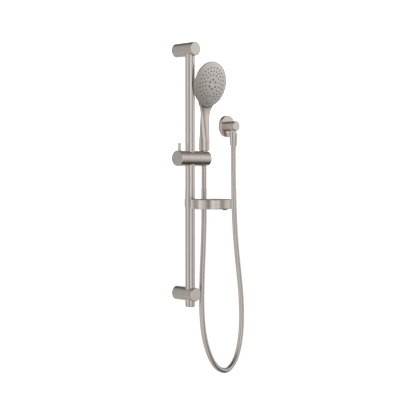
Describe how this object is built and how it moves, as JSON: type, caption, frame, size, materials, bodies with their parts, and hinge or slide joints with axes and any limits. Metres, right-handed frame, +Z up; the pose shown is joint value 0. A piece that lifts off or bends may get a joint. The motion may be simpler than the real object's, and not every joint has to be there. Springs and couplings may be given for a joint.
{
  "type": "rail shower set with handheld shower head",
  "caption": "Handheld shower head in a sliding, tilting holder on a wall rail, with a flexible hose, wall elbow outlet and soap dish.",
  "frame": {"origin": "on the wall, midway between the two wall screws of the rail", "axes": "+X along the wall to the right as seen from the room, +Y into the wall, +Z up along the rail"},
  "size_m": [0.2892, 0.1746, 0.8695],
  "materials": {
    "brushed_nickel": "warm satin brushed nickel",
    "satin_face": "fine matte satin nickel",
    "silicone": "soft matte",
    "engineering_plastic": "satin",
    "plain_steel": "plain",
    "brass": "machined"
  },
  "bodies": {
    "rail_frame": {"rail_tube": "brushed_nickel", "rail_end_cap": "brushed_nickel", "rail_top_plug": "engineering_plastic", "upper_bracket": "brushed_nickel", "lower_bracket": "brushed_nickel", "upper_wall_post": "plain_steel", "lower_wall_post": "plain_steel", "bracket_grub_screws": "plain_steel", "rail_set_screws": "plain_steel", "elbow_flange": "brushed_nickel", "elbow_body": "brushed_nickel", "elbow_outlet": "brushed_nickel", "flange_oring": "silicone", "check_valve": "engineering_plastic", "elbow_hose_seal": "silicone", "elbow_nut": "brushed_nickel", "elbow_ferrule": "brushed_nickel", "hose_loop": "brushed_nickel"},
    "carriage": {"rail_liner": "engineering_plastic", "hose_riser": "brushed_nickel"},
    "slider": {"slider_body": "brushed_nickel", "holder_washer": "engineering_plastic", "holder_pivot_screw": "plain_steel", "pivot_spring_washer": "plain_steel", "hose_tail": "brushed_nickel"},
    "lock": {"lock_knob": "brushed_nickel", "lever_pin": "brushed_nickel", "clamp_spindle": "brass", "knob_washer": "engineering_plastic"},
    "shoe": {"clamp_shoe": "engineering_plastic"},
    "holder": {"handset_holder": "brushed_nickel", "hose_tip": "brushed_nickel"},
    "handset": {"handset_shell": "brushed_nickel", "inlet_connector": "brass", "handset_hose_seal": "silicone", "handset_nut": "brushed_nickel", "handset_ferrule": "brushed_nickel", "flow_regulator": "engineering_plastic", "water_tube": "engineering_plastic", "spray_manifold": "engineering_plastic", "manifold_screws": "plain_steel", "nozzle_mat": "silicone", "face_plate": "satin_face", "button_spring": "plain_steel", "button_seal": "silicone"},
    "button": {"selector_button": "satin_face"},
    "dish_carriage": {"dish_liner": "engineering_plastic"},
    "dish": {"dish_clip": "brushed_nickel", "soap_dish": "brushed_nickel", "dish_screw": "plain_steel", "drain_spout": "silicone"}
  },
  "joints": [
    {"name": "slider_travel", "type": "slide", "parent": "rail_frame", "child": "carriage", "axis": [0, 0, 1], "range_m": [-0.04, 0.05], "deforming": ["hose_loop"]},
    {"name": "slider_swivel", "type": "hinge", "parent": "carriage", "child": "slider", "pos_m": [0, -0.0482, 0.0352], "axis": [0, 0, 1], "range_deg": [-30, 20], "deforming": ["hose_riser"]},
    {"name": "lock_turn", "type": "hinge", "parent": "slider", "child": "lock", "pos_m": [-0.0345, -0.0482, 0.0352], "axis": [1, 0, 0], "range_deg": [0, 90]},
    {"name": "shoe_clamp", "type": "slide", "parent": "slider", "child": "shoe", "axis": [-1, 0, 0], "range_m": [0, 0.0005]},
    {"name": "holder_tilt", "type": "hinge", "parent": "slider", "child": "holder", "pos_m": [0.0518, -0.0482, 0.0352], "axis": [1, 0, 0], "range_deg": [0, 30], "deforming": ["hose_tail"]},
    {"name": "handset_lift", "type": "slide", "parent": "holder", "child": "handset", "axis": [0, -0.0279, 0.9996], "range_m": [0, 0.025], "deforming": ["hose_tip"]},
    {"name": "button_push", "type": "slide", "parent": "handset", "child": "button", "axis": [0, 0.9767, 0.2147], "range_m": [0, 0.002], "stiffness_N_per_m": 1200, "springref_m": -0.001, "deforming": ["button_spring"]},
    {"name": "dish_travel", "type": "slide", "parent": "rail_frame", "child": "dish_carriage", "axis": [0, 0, 1], "range_m": [-0.15, 0.03]},
    {"name": "dish_swivel", "type": "hinge", "parent": "dish_carriage", "child": "dish", "pos_m": [0, -0.0482, -0.0776], "axis": [0, 0, 1], "range_deg": [-60, 30]}
  ],
  "couplings": [
    {"joint": "shoe_clamp", "follows": "lock_turn", "m_per_rad": 0.000318}
  ]
}
